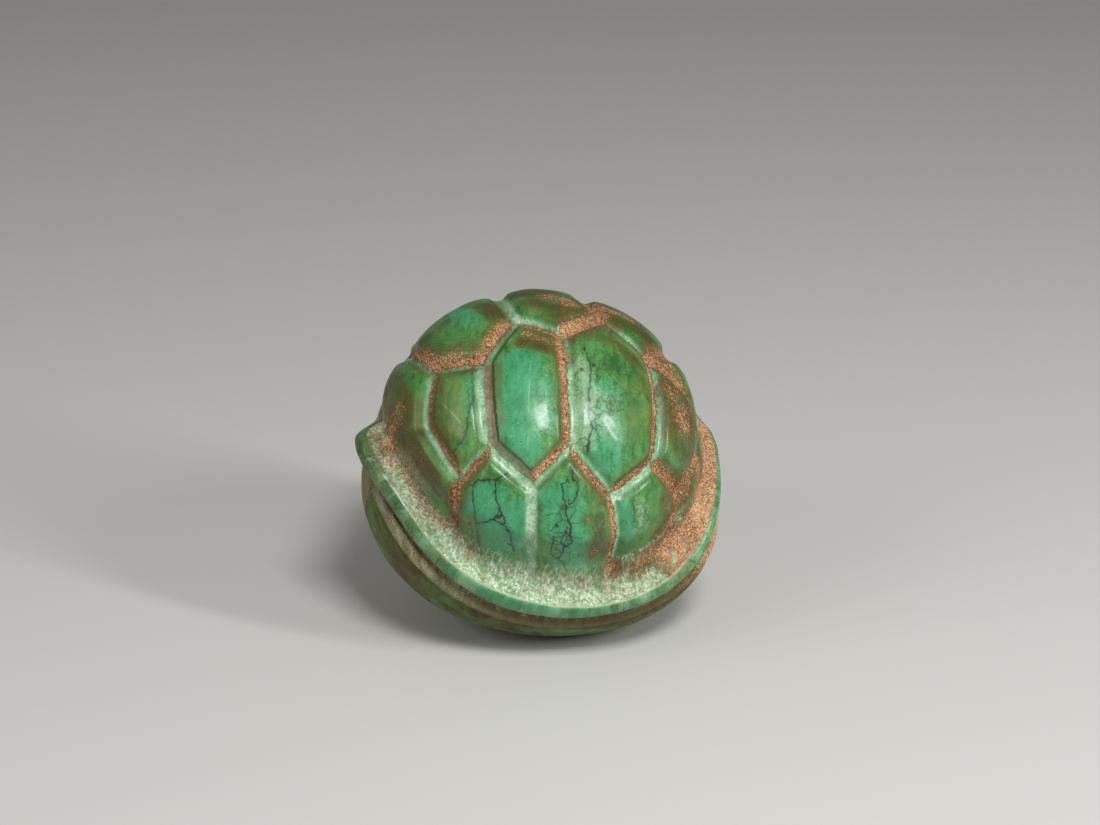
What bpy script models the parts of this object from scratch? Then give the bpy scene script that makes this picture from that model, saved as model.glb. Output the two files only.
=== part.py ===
"""A turtle shell carved from one piece of green stone.

The shell is one closed solid: a high dome cut into pillow-like scutes, a flaring
skirt that ends in a rounded lip, a groove under the lip, a low ridge under the
groove, and a deep rounded belly. It leans over on its belly, and the lowest place
of the belly is a small worn flat that it rests on.

Units are metres and degrees, +Z is up. The origin is the middle of the worn flat.
In the shell's own frame X runs along the spine, -Y is the near flank and Z is the
dome's axis. A turn is an angle about that axis, from +X towards +Y, and a fall is an
angle down from the top of the dome.
"""

import math

import bmesh
import bpy
import numpy as np
from mathutils import Matrix, Vector

MM = 0.001

# How the shell lies
HUB = (-3.1 * MM, -1.9 * MM, 29.3 * MM)  # centre of the dome's ball, above the flat
TIP_TO_FRONT = 37.0  # the dome's axis tips towards -Y
LEAN_TO_SIDE = 14.0  # and then leans towards +X
SPINE_TURN = 13.0  # the spine turned about the dome's axis
FLAT_BLEND = 0.8 * MM  # height over which the belly eases into the worn flat
FLAT_SINK = 0.15 * MM  # stone left under the flat for the cutter to take off

# Dome and scutes
DOME_RADIUS = 26.5 * MM
WALL_RADIUS = 23.2 * MM  # narrowest reach of the dome's foot from the hub
DOME_FALL = 56.0  # where the dome leaves the ball
FOOT_FALL = 75.0  # where the skirt begins
SEAM_DEPTH = 0.7 * MM
SEAM_HALF_WIDTH = 1.5 * MM
LOW_SEAM_HALF_WIDTH = 1.15 * MM
SEAM_STEEPNESS = 4.0  # power that gives the seams a broad floor between steep walls
PILLOW_DEPTH = 0.55 * MM
PILLOW_HALF_WIDTH = 2.8 * MM
LOW_SEAM_SHARE = 0.65  # the seams that run down to the skirt are shallower
SEAM_BLEND = 5.0  # power of the smooth maximum that joins the seams' cuts

# Rim, groove, ridge and belly
RIM_REACH = 26.7 * MM  # reach of the lip's lower edge from the axis, before its bulges
EDGE_HEIGHT_TIPS = 3.4 * MM  # the lip's lower edge at the ends of the spine
EDGE_HEIGHT_NEAR = -3.1 * MM  # at the near flank
EDGE_HEIGHT_FAR = -3.8 * MM  # at the far flank
FAR_DIP = 1.2  # power of the dip: on the far flank the edge falls away soon after the tips
LIP_HEIGHT = 2.5 * MM
GROOVE_DEPTH = 1.1 * MM  # how far the groove lies inside the middle of lip and belly
RIDGE_DROP = 2.9 * MM  # from the lip's lower edge down to the ridge
RIDGE_WIDTH = 2.6 * MM  # from the ridge's crest down to where the plain belly begins
BELLY_REACH = 26.4 * MM
BELLY_CENTRE = -3.5 * MM
BELLY_DEPTH = 27.0 * MM
BELLY_POINTS = 9  # points of the outline on the plain belly

# Bulges about the axis: (turn, half width before it, half width after it, reach)
LEFT_TIP = (181, 4, 12, 3.4 * MM)
RIGHT_FLARE = (320, 26, 24, 4.4 * MM)
RIM_BULGES = (
    LEFT_TIP, RIGHT_FLARE, (3, 14, 5, 0.9 * MM), (105, 36, 40, -1.9 * MM),
    (140, 18, 8, 1.3 * MM),
)
FOOT_BULGES = ((162, 32, 24, 4.1 * MM), (348, 44, 38, 3.4 * MM))
BELLY_BULGES = ((195, 22, 41, 1.9 * MM), (326, 28, 22, 5.7 * MM), (120, 45, 35, -1.6 * MM))
EDGE_BULGES = ((156, 30, 11, -2.7 * MM),)  # behind the left tip the lip hangs low
LIP_BULGES = ((256, 30, 17, 0.9 * MM),)  # the lip is thickest at the near flank
RIDGE_BULGES = ((196, 20, 24, 1.1 * MM),)

# Swellings of the dome: (fall, turn, half width in degrees, height)
DOME_BULGES = ((62, 157, 23, 1.4 * MM), (60, 10, 26, 0.8 * MM))

# Seam corners on the dome: (fall, turn), named after the scutes that meet there. The
# spine runs C, D, E, F, H, N over the top; B, A, G are the scutes of the far flank and
# I, J, K those of the near one. R stands for the rim, where the last seams fade out.
CORNERS = {
    "AEF": (17.5, 91.5), "EFJ": (25.5, 269.5), "ABE": (30.5, 121), "AFG": (34.5, 60),
    "BDE": (29.5, 165.5), "DEI": (37.5, 220), "FGH": (35.5, 22), "FHK": (43.5, 321),
    "EIJ": (41, 250.5), "FJK": (45, 292), "BCD": (48, 167), "CD": (53, 191),
    "CDI": (53, 219.5), "HKN": (63, 327), "HN": (68, 357), "GHN": (56, 8),
    "AB": (54, 110.5), "AG": (48, 73), "BC": (68, 151),
    "ABR": (94, 106), "AGR": (94, 74), "BCR": (92, 142), "GNR": (92, 35),
    "IJR": (84, 263), "JKR": (86, 293), "CIR": (86, 229), "KNR": (88, 313),
}
HIGH_SEAMS = (
    ("AEF", "EFJ"), ("AEF", "ABE"), ("AEF", "AFG"), ("ABE", "BDE"), ("BDE", "DEI"),
    ("DEI", "EIJ"), ("EIJ", "EFJ"), ("AFG", "FGH"), ("FGH", "FHK"), ("FHK", "FJK"),
    ("FJK", "EFJ"), ("BDE", "BCD"), ("BCD", "CD"), ("CD", "CDI"), ("CDI", "DEI"),
    ("FHK", "HKN"), ("HKN", "HN"), ("HN", "GHN"), ("GHN", "FGH"), ("BCD", "BC"),
    ("BC", "BCR"), ("ABE", "AB"), ("AB", "ABR"), ("AFG", "AG"), ("AG", "AGR"),
    ("FGH", "GNR"),
)
LOW_SEAMS = (("EIJ", "IJR"), ("FJK", "JKR"), ("CDI", "CIR"), ("HKN", "KNR"))

# Mesh
DOME_SHARE = 0.44  # share of the outline's rows that lie on the dome
SEAM_SHARE, SKIRT_SHARE = 0.42, 0.50  # the seams fade out between these two
ROUND_STEPS = 300
OUTLINE_STEPS = 190
KEPT_TRIANGLES = 9400
GRINDING_BLOCK = (80 * MM, 80 * MM, 20 * MM)  # the cutter that levels the worn flat


def bulge(turn, bulges):
    """Sum of smooth bumps about the axis, each with its own width on either side."""
    total = np.zeros_like(turn)
    for middle, before, after, reach in bulges:
        off = (turn - middle + 180.0) % 360.0 - 180.0
        half_width = np.where(off < 0.0, before, after)
        total = total + reach * np.exp(-0.5 * (off / half_width) ** 2)
    return total


def rim_reach(turn):
    return RIM_REACH + bulge(turn, RIM_BULGES)


def foot_radius(turn):
    return WALL_RADIUS + bulge(turn, FOOT_BULGES)


def belly_reach(turn):
    return BELLY_REACH + bulge(turn, BELLY_BULGES)


def edge_height(turn):
    """Height of the lip's lower edge: the rim is a shallow saddle, lowest behind."""
    side = np.sin(np.radians(turn))
    near = (EDGE_HEIGHT_NEAR - EDGE_HEIGHT_TIPS) * side**2
    far = (EDGE_HEIGHT_FAR - EDGE_HEIGHT_TIPS) * np.abs(side) ** FAR_DIP
    saddle = EDGE_HEIGHT_TIPS + np.where(side < 0.0, near, far)
    return saddle + bulge(turn, EDGE_BULGES)


def direction(fall, turn):
    fall, turn = np.radians(fall), np.radians(turn)
    flat = np.sin(fall)
    return np.stack([flat * np.cos(turn), flat * np.sin(turn), np.cos(fall)], axis=-1)


def arc_distance(points, start, end):
    """Angle in radians from each unit vector to the great-circle arc start-end."""
    pole = np.cross(start, end)
    pole /= np.linalg.norm(pole)
    beside = np.abs(np.arcsin(np.clip(points @ pole, -1.0, 1.0)))
    within = (points @ np.cross(pole, start) > 0) & (points @ np.cross(end, pole) > 0)
    ends = np.maximum(points @ start, points @ end)
    return np.where(within, beside, np.arccos(np.clip(ends, -1.0, 1.0)))


def seam_relief(fall, turn):
    """How far the dome is cut back beside its seams: a smooth maximum over all of them."""
    points = direction(fall, turn)
    corner = {name: direction(*place) for name, place in CORNERS.items()}
    total = np.zeros(len(points))
    for seams, half_width, share in (
        (HIGH_SEAMS, SEAM_HALF_WIDTH, 1.0), (LOW_SEAMS, LOW_SEAM_HALF_WIDTH, LOW_SEAM_SHARE)
    ):
        for start, end in seams:
            away = arc_distance(points, corner[start], corner[end]) * DOME_RADIUS
            channel = SEAM_DEPTH * np.exp(-((away / half_width) ** SEAM_STEEPNESS))
            pillow = PILLOW_DEPTH * np.exp(-((away / PILLOW_HALF_WIDTH) ** 2))
            total += (share * (channel + pillow) / MM) ** SEAM_BLEND
    return total ** (1.0 / SEAM_BLEND) * MM


def dome_radius(fall, turn):
    """Reach of the uncut dome from the hub: a swollen ball that draws in to its foot."""
    points = direction(fall, turn)
    ball = np.full(len(points), DOME_RADIUS)
    for middle_fall, middle_turn, half_width, height in DOME_BULGES:
        cosine = np.clip(points @ direction(middle_fall, middle_turn), -1.0, 1.0)
        ball += height * np.exp(-0.5 * (np.degrees(np.arccos(cosine)) / half_width) ** 2)
    share = np.clip((fall - DOME_FALL) / (FOOT_FALL - DOME_FALL), 0.0, 1.0)
    share = share * share * (3.0 - 2.0 * share)
    return ball + (foot_radius(turn) - ball) * share


def lower_outline(turn):
    """Points of the outline from the dome's foot to the belly's end: (reach, height)."""
    rim, edge = rim_reach(turn), edge_height(turn)
    foot, belly = foot_radius(turn), belly_reach(turn)
    foot_reach = foot * math.sin(math.radians(FOOT_FALL))
    foot_height = foot * math.cos(math.radians(FOOT_FALL))
    crest = edge + LIP_HEIGHT + bulge(turn, LIP_BULGES)
    ridge = edge - RIDGE_DROP + bulge(turn, RIDGE_BULGES)
    blunt_rim = RIM_REACH + bulge(turn, (RIGHT_FLARE,))
    groove = 0.5 * (blunt_rim + belly) - GROOVE_DEPTH
    width = rim - 1.6 * MM - foot_reach
    points = [
        (foot_reach, foot_height),
        (foot_reach + 0.2 * width, 0.45 * foot_height + 0.55 * crest),
        (foot_reach + 0.56 * width, 0.15 * foot_height + 0.85 * crest),
        (rim - 1.6 * MM, crest + 0.15 * MM),
        (rim - 0.75 * MM, crest),
        (rim - 0.2 * MM, crest - 0.55 * MM),
        (rim + 0.1 * MM, edge + 1.2 * MM),
        (rim, edge + 0.25 * MM),
        (rim - 0.5 * MM, edge - 0.35 * MM),
        (0.45 * rim + 0.55 * groove - 0.4 * MM, edge - 0.8 * MM),
        (groove, 0.7 * edge + 0.3 * ridge - 0.6 * MM),
        (0.7 * groove + 0.3 * belly, ridge + 0.9 * MM),
        (belly - 0.05 * MM, ridge),
        (belly - 0.35 * MM, ridge - 1.2 * MM),
    ]
    drop = BELLY_CENTRE - (ridge - RIDGE_WIDTH)
    start = np.arcsin(np.clip(drop / BELLY_DEPTH, -1.0, 1.0))
    for step in np.linspace(0.0, 1.0, BELLY_POINTS):
        dip = start + (math.pi / 2 - start) * step
        points.append((belly * np.cos(dip), BELLY_CENTRE - BELLY_DEPTH * np.sin(dip)))
    return np.array([[np.broadcast_to(v, turn.shape) for v in point] for point in points])


def along(points, share):
    """Position at a share 0..1 of a smooth curve through the points (Catmull-Rom)."""
    last = len(points) - 1
    place = np.clip(share, 0.0, 1.0) * last
    left = np.minimum(place.astype(int), last - 1)
    t = place - left
    column = np.arange(len(share))
    before, here, there, after = (
        points[np.clip(left + shift, 0, last), :, column] for shift in (-1, 0, 1, 2)
    )
    t = t[:, None]
    return 0.5 * (
        2 * here + (there - before) * t + (2 * before - 5 * here + 4 * there - after) * t**2
        + (3 * here - before - 3 * there + after) * t**3
    )


def shell_points(level, turn):
    """Body-frame points: level runs 0..1 from the top of the dome to the belly's end."""
    fall = np.minimum(level / DOME_SHARE, 1.0) * FOOT_FALL
    reach_height = along(lower_outline(turn), (level - DOME_SHARE) / (1.0 - DOME_SHARE))
    on_dome = level < DOME_SHARE
    radius = dome_radius(fall, turn)
    reach = np.where(on_dome, radius * np.sin(np.radians(fall)), reach_height[:, 0])
    height = np.where(on_dome, radius * np.cos(np.radians(fall)), reach_height[:, 1])
    angle = np.radians(turn)
    points = np.stack([reach * np.cos(angle), reach * np.sin(angle), height], axis=-1)
    length = np.linalg.norm(points, axis=1)
    true_fall = np.degrees(np.arccos(np.clip(points[:, 2] / length, -1.0, 1.0)))
    fade = np.clip((SKIRT_SHARE - level) / (SKIRT_SHARE - SEAM_SHARE), 0.0, 1.0)
    cut = seam_relief(true_fall, turn) * fade
    return points * (1.0 - cut / length)[:, None]


def lay_down(points):
    """Turns the body-frame points to the resting pose and eases the belly flat."""
    turn = (
        Matrix.Rotation(math.radians(LEAN_TO_SIDE), 3, "Y")
        @ Matrix.Rotation(math.radians(TIP_TO_FRONT), 3, "X")
        @ Matrix.Rotation(math.radians(SPINE_TURN), 3, "Z")
    )
    placed = points @ np.array(turn).T + np.array(HUB)
    ease = np.clip(placed[:, 2] / FLAT_BLEND + 1.0, 0.0, 2.0)
    eased = FLAT_BLEND * ease**2 / 4.0
    low = placed[:, 2] < FLAT_BLEND
    placed[:, 2] = np.where(low, eased, placed[:, 2]) - FLAT_SINK
    return placed


def stone_material():
    material = bpy.data.materials.new("green_stone")
    material.use_nodes = True
    shader = material.node_tree.nodes["Principled BSDF"]
    shader.inputs["Base Color"].default_value = (0.07, 0.27, 0.15, 1.0)
    shader.inputs["Roughness"].default_value = 0.35
    shader.inputs["Metallic"].default_value = 0.0
    return material


def carve_shell():
    mesh = bpy.data.meshes.new("turtle_shell")
    work = bmesh.new()
    bmesh.ops.create_uvsphere(
        work, u_segments=ROUND_STEPS, v_segments=OUTLINE_STEPS, radius=1.0
    )
    blank = np.array([vert.co for vert in work.verts])
    level = np.arccos(np.clip(blank[:, 2], -1.0, 1.0)) / math.pi
    turn = np.degrees(np.arctan2(blank[:, 1], blank[:, 0])) % 360.0
    for vert, place in zip(work.verts, lay_down(shell_points(level, turn))):
        vert.co = Vector(place)
    bmesh.ops.recalc_face_normals(work, faces=work.faces)
    work.to_mesh(mesh)
    work.free()
    mesh.shade_smooth()
    shell = bpy.data.objects.new("turtle_shell", mesh)
    bpy.context.scene.collection.objects.link(shell)
    mesh.materials.append(stone_material())
    return shell


def thin(shell):
    full = sum(len(face.vertices) - 2 for face in shell.data.polygons)
    decimate = shell.modifiers.new("facets", "DECIMATE")
    decimate.ratio = KEPT_TRIANGLES / full
    decimate.use_collapse_triangulate = True


def grind_flat(shell):
    """Cuts the worn flat exactly level at z = 0."""
    work = bmesh.new()
    bmesh.ops.create_cube(work, size=1.0)
    bmesh.ops.scale(work, verts=work.verts, vec=GRINDING_BLOCK)
    bmesh.ops.translate(work, verts=work.verts, vec=(0.0, 0.0, -GRINDING_BLOCK[2] / 2))
    mesh = bpy.data.meshes.new("grinding_block")
    work.to_mesh(mesh)
    work.free()
    block = bpy.data.objects.new("grinding_block", mesh)
    bpy.context.scene.collection.objects.link(block)
    block.hide_render = True
    block.display_type = "WIRE"
    cut = shell.modifiers.new("worn_flat", "BOOLEAN")
    cut.operation = "DIFFERENCE"
    cut.solver = "EXACT"
    cut.object = block


for old in list(bpy.data.objects):
    bpy.data.objects.remove(old)
turtle_shell = carve_shell()
thin(turtle_shell)
grind_flat(turtle_shell)
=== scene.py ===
# %% [markdown]
# # A turtle shell carved from green stone
#
# The real object is one palm-size piece of mottled green stone. A carver ground it
# to a leaning ball, cut pillow-like scutes into the dome with a round burr, drew the
# edge out into a flaring lip, and left a groove, a low ridge and a deep belly under it.
# Brown dirt and pale stone dust have stayed in the cuts.
#
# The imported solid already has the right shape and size, but only few faces. Here the
# same shape is carved again with many more, in one closed piece that replaces the
# solid, and the stone's colours, veins and tool marks are added to it.

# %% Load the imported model
import math

import bmesh
import bpy
import numpy as np
from mathutils import Matrix, Vector, noise


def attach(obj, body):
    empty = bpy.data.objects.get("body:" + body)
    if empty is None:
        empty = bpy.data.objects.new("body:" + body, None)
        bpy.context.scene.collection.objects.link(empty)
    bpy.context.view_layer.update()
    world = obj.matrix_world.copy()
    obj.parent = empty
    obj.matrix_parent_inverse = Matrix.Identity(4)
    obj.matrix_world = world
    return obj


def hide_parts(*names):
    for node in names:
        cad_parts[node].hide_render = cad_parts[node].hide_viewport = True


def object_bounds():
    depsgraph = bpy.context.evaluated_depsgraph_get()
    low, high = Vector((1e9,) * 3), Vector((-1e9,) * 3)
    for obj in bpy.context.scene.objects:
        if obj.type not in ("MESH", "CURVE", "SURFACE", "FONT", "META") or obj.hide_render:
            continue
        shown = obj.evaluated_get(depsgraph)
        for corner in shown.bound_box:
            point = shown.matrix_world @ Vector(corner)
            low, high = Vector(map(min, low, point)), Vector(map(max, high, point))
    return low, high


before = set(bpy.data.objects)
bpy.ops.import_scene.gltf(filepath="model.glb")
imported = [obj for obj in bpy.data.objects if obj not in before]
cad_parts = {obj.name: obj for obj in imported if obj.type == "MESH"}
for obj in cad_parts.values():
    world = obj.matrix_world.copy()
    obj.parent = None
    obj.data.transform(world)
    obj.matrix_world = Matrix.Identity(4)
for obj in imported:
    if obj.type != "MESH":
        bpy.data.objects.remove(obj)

MM = 0.001
solid_box = [list(corner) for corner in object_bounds()]
print("the solid's box in mm:", np.round(np.array(solid_box) / MM, 1).tolist())

# %% [markdown]
# ## Camera
#
# The photograph looks down on the shell by about 22 degrees, through a long lens, and
# the shell stands a little left of and below the middle. The camera is placed by the
# centre of the dome's ball: a few millimetres beside it is the point looked at, and
# the lens is as long as the shell's size in the picture asks.

# %% Place the camera
DOME_HUB = Vector((-3.1, -1.9, 29.15))  # mm, centre of the dome's ball
CAMERA_DIP = math.radians(22.0)
CAMERA_DISTANCE = 416.0  # mm
LENS, SENSOR = 85.1, 36.0  # mm
LOOK_ASIDE, LOOK_ABOVE = 2.16, 6.72  # mm from the hub to the point looked at
CLIP_NEAR, CLIP_FAR = 0.01, 20.0  # m

ahead = Vector((0.0, math.cos(CAMERA_DIP), -math.sin(CAMERA_DIP)))
aside = Vector((1.0, 0.0, 0.0))
above = aside.cross(ahead)
looked_at = DOME_HUB + LOOK_ASIDE * aside + LOOK_ABOVE * above

camera_data = bpy.data.cameras.new("camera")
camera_data.lens, camera_data.sensor_width = LENS, SENSOR
camera_data.clip_start, camera_data.clip_end = CLIP_NEAR, CLIP_FAR
camera = bpy.data.objects.new("camera", camera_data)
camera.matrix_world = Matrix.Translation((looked_at - CAMERA_DISTANCE * ahead) * MM) @ Matrix(
    (aside, above, -ahead)
).transposed().to_4x4()
bpy.context.scene.collection.objects.link(camera)
bpy.context.scene.camera = camera
print("camera at", [round(v, 3) for v in camera.matrix_world.translation])

# %% [markdown]
# ## Floor and studio light
#
# The stone is polished, so its shine shows where the lights are. A small soft box in
# front gives the spot and its glow in the middle of the dome, a tall narrow one on the
# right gives the glints on that side, and a large weak one brightens the left. Pale
# surroundings fill the shadows. A light shines along its own -Z axis, so its +Z axis is
# pointed away from the shell.

# %% Make the floor
FLOOR_RADIUS, FLOOR_SIDES = 3.0, 96  # m, and the number of its straight sides
FLOOR_COLOUR, FLOOR_ROUGHNESS = (0.60, 0.59, 0.57, 1.0), 0.7

floor_mesh = bpy.data.meshes.new("floor")
disc = bmesh.new()
bmesh.ops.create_circle(disc, cap_ends=True, segments=FLOOR_SIDES, radius=FLOOR_RADIUS)
disc.to_mesh(floor_mesh)
disc.free()
floor = bpy.data.objects.new("floor", floor_mesh)
bpy.context.scene.collection.objects.link(floor)
floor_paint = bpy.data.materials.new("pale_floor")
floor_paint.use_nodes = True
floor_shader = floor_paint.node_tree.nodes["Principled BSDF"]
floor_shader.inputs["Base Color"].default_value = FLOOR_COLOUR
floor_shader.inputs["Roughness"].default_value = FLOOR_ROUGHNESS
floor_mesh.materials.append(floor_paint)
print("floor:", 2 * FLOOR_RADIUS, "m across")

# %% Hang the lights
SOFT_BOXES = {  # direction from the shell, distance, width and height in m, watts
    "front_box": ((0.19, -0.62, 0.76), 0.55, 0.14, 0.12, 2.1),
    "right_box": ((0.74, -0.48, 0.47), 0.60, 0.04, 0.22, 1.6),
    "left_box": ((-0.70, -0.50, 0.50), 0.80, 0.40, 0.40, 1.4),
}
SURROUND_COLOUR, SURROUND_STRENGTH = (1.0, 0.97, 0.92, 1.0), 0.17

for name, (towards, distance, width, height, watts) in SOFT_BOXES.items():
    light = bpy.data.lights.new(name, "AREA")
    light.shape, light.size, light.size_y, light.energy = "RECTANGLE", width, height, watts
    box = bpy.data.objects.new(name, light)
    outward = Vector(towards).normalized()
    box.location = DOME_HUB * MM + outward * distance
    box.rotation_euler = outward.to_track_quat("Z", "Y").to_euler()
    bpy.context.scene.collection.objects.link(box)

world = bpy.data.worlds.new("studio")
world.use_nodes = True
world.node_tree.nodes["Background"].inputs["Color"].default_value = SURROUND_COLOUR
world.node_tree.nodes["Background"].inputs["Strength"].default_value = SURROUND_STRENGTH
bpy.context.scene.world = world
bpy.context.scene.view_settings.view_transform = "Standard"
print("lights:", list(SOFT_BOXES))

# %% [markdown]
# ## The blank
#
# A ball with rows and columns is the natural blank for a dome on a rounded belly: its
# rows become the levels of the carving, from the top of the dome (0) over the lip to
# the end of the belly (1), and its columns become the turns about the dome's axis.
# This step only reads the level and the turn of each point of the ball. The next ones
# work out where that point lies on the carving, and the ball is moved there at the end.

# %% Cut the blank
AROUND, DOWN = 396, 250

blank = bmesh.new()
bmesh.ops.create_uvsphere(blank, u_segments=AROUND, v_segments=DOWN, radius=1.0)
ball = np.array([vert.co for vert in blank.verts])
level = np.arccos(np.clip(ball[:, 2], -1.0, 1.0)) / math.pi
turn = np.degrees(np.arctan2(ball[:, 1], ball[:, 0])) % 360.0
print("blank:", len(blank.verts), "points,", len(blank.faces), "faces")

# %% [markdown]
# ## The plan and the outline
#
# The carving is no perfect round. The lip reaches out to a sharp tip at the left and
# to a broad curve at the right, and the belly follows it less strongly. Each bulge is
# a smooth bump at one turn. The lip's edge also sags on both flanks, as a saddle does.
# The outline then runs, for every turn, down the dome and through the same places:
# skirt, crest of the lip, lower edge, groove, ridge and belly. A smooth curve through
# them is what a carver's gouge leaves.

# %% Draw the plan
DOME, DOME_FOOT = 26.5, 23.2  # mm from the hub
DOME_FALL, FOOT_FALL = 56.0, 75.0  # degrees down from the top of the dome
DOME_SHARE = 0.44  # the level where the skirt begins
SEAM_SHARE, SKIRT_SHARE = 0.42, 0.50  # the seams fade out between these levels
LIP_REACH, BELLY_REACH = 26.7, 26.4  # mm from the axis, before the bulges
# A bulge: the turn of its middle, its half width before and after it, its reach in mm.
SHARP_TIP, RIGHT_FLARE, RIGHT_END = (181, 4, 12, 3.4), (320, 26, 24, 4.4), (3, 14, 5, 0.9)
BACK_HOLLOW, BACK_SHOULDER = (105, 36, 40, -1.9), (140, 18, 8, 1.3)
FOOT_BULGES = ((162, 32, 24, 4.1), (348, 44, 38, 3.4))
BELLY_BULGES = ((195, 22, 41, 1.9), (326, 28, 22, 5.7), (120, 45, 35, -1.6))


def bulges(base, *bumps):
    """base plus smooth bumps, which may also reach inwards."""
    total = np.full(turn.shape, base)
    for middle, before, after, reach in bumps:
        off = (turn - middle + 180.0) % 360.0 - 180.0
        total += reach * np.exp(-0.5 * (off / np.where(off < 0.0, before, after)) ** 2)
    return total


rim = bulges(LIP_REACH, SHARP_TIP, RIGHT_FLARE, RIGHT_END, BACK_HOLLOW, BACK_SHOULDER)
blunt_rim = bulges(LIP_REACH, RIGHT_FLARE)
foot = bulges(DOME_FOOT, *FOOT_BULGES)
belly = bulges(BELLY_REACH, *BELLY_BULGES)
print("the lip reaches", rim.min().round(1), "to", rim.max().round(1), "mm from the axis")

# %% Place the lip, the groove and the ridge
SADDLE_HEIGHT = 3.4  # mm from the hub up to the lip's edge, at both ends of the spine
NEAR_SAG, FAR_SAG = 6.5, 7.2  # mm down from there on each flank
FAR_SAG_POWER = 1.2  # less than 2 gives the far flank a straighter sag than the near one
TIP_SAG, NEAR_LIP_SWELL, LEFT_RIDGE_LIFT = (156, 30, 11, -2.7), (256, 30, 17, 0.9), (196, 20, 24, 1.1)
LIP_HEIGHT, LIP_ROUND = 2.5, 1.6  # mm from the edge up to the crest, and across it
RIDGE_DROP, GROOVE_DEPTH = 2.9, 1.1  # mm

side = np.sin(np.radians(turn))
saddle = SADDLE_HEIGHT - np.where(
    side < 0.0, NEAR_SAG * side**2, FAR_SAG * np.abs(side) ** FAR_SAG_POWER
)
edge = saddle + bulges(0.0, TIP_SAG)
crest = edge + bulges(LIP_HEIGHT, NEAR_LIP_SWELL)
ridge = edge - RIDGE_DROP + bulges(0.0, LEFT_RIDGE_LIFT)
groove = 0.5 * (blunt_rim + belly) - GROOVE_DEPTH
foot_reach = foot * math.sin(math.radians(FOOT_FALL))
foot_height = foot * math.cos(math.radians(FOOT_FALL))
flare = rim - LIP_ROUND - foot_reach
print("the lip's edge lies", edge.min().round(1), "to", edge.max().round(1), "mm from the hub")

# %% Draw the outline under the dome
BELLY_CENTRE, BELLY_DEPTH = -3.5, 27.0  # mm
BELLY_START = 2.6  # mm under the ridge
BELLY_PLACES = 9

outline = [  # each place: reach from the axis, height above the hub, both in mm for every turn
    (foot_reach, foot_height),  # the dome's foot
    (foot_reach + 0.2 * flare, 0.45 * foot_height + 0.55 * crest),  # the hollow of the skirt
    (foot_reach + 0.56 * flare, 0.15 * foot_height + 0.85 * crest),
    (rim - LIP_ROUND, crest + 0.15),  # up to the lip and over its crest
    (rim - 0.75, crest),
    (rim - 0.2, crest - 0.55),
    (rim + 0.1, edge + 1.2),  # down its face
    (rim, edge + 0.25),
    (rim - 0.5, edge - 0.35),  # round its lower edge
    (0.45 * rim + 0.55 * groove - 0.4, edge - 0.8),  # into the groove
    (groove, 0.7 * edge + 0.3 * ridge - 0.6),
    (0.7 * groove + 0.3 * belly, ridge + 0.9),  # out of it and over the ridge
    (belly - 0.05, ridge),
    (belly - 0.35, ridge - 1.2),
]
first_dip = np.arcsin(np.clip((BELLY_CENTRE - ridge + BELLY_START) / BELLY_DEPTH, -1.0, 1.0))
for share in np.linspace(0.0, 1.0, BELLY_PLACES):
    dip = first_dip + (math.pi / 2 - first_dip) * share
    outline.append((belly * np.cos(dip), BELLY_CENTRE - BELLY_DEPTH * np.sin(dip)))
outline = np.array(outline)
print("the outline has", len(outline), "places below the dome")


# %% Run a smooth curve through the outline
def smooth_curve(places, share):
    """Catmull-Rom curve through the places, at a share from 0 to 1 of its length."""
    last = len(places) - 1
    spot = np.clip(share, 0.0, 1.0) * last
    left = np.minimum(spot.astype(int), last - 1)
    step = (spot - left)[:, None]
    column = np.arange(len(share))
    before, here, there, after = (
        places[np.clip(left + shift, 0, last), :, column] for shift in (-1, 0, 1, 2)
    )
    return 0.5 * (
        2 * here + (there - before) * step
        + (2 * before - 5 * here + 4 * there - after) * step**2
        + (3 * here - before - 3 * there + after) * step**3
    )


def soft_step(value, start, end):
    """0 below start, 1 above end, smooth between."""
    share = np.clip((value - start) / (end - start), 0.0, 1.0)
    return share * share * (3.0 - 2.0 * share)


def direction(fall, turn):
    """The direction from the hub, of length 1, for a fall and a turn in degrees."""
    fall, turn = np.radians(fall), np.radians(turn)
    flat = np.sin(fall)
    return np.stack([flat * np.cos(turn), flat * np.sin(turn), np.cos(fall)], axis=-1)


print("helpers for smooth curves and directions ready")

# %% Join the dome to the outline
DOME_SWELLS = ((62, 157, 23, 1.4), (60, 10, 26, 0.8))  # fall, turn and half width, then mm

ball_fall = np.minimum(level / DOME_SHARE, 1.0) * FOOT_FALL
dome = np.full(turn.shape, DOME)
for swell_fall, swell_turn, half_width, swell in DOME_SWELLS:
    cosine = direction(ball_fall, turn) @ direction(swell_fall, swell_turn)
    away = np.degrees(np.arccos(np.clip(cosine, -1.0, 1.0)))
    dome += swell * np.exp(-0.5 * (away / half_width) ** 2)
dome += (foot - dome) * soft_step(ball_fall, DOME_FALL, FOOT_FALL)
below = smooth_curve(outline, (level - DOME_SHARE) / (1.0 - DOME_SHARE))
on_dome = level < DOME_SHARE
reach = np.where(on_dome, dome * np.sin(np.radians(ball_fall)), below[:, 0])
height = np.where(on_dome, dome * np.cos(np.radians(ball_fall)), below[:, 1])
carving = np.stack(
    [reach * np.cos(np.radians(turn)), reach * np.sin(np.radians(turn)), height], axis=1
)
fall = np.degrees(np.arccos(np.clip(height / np.hypot(reach, height), -1.0, 1.0)))
print("uncut shell:", np.ptp(carving, axis=0).round(1), "mm")

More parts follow.
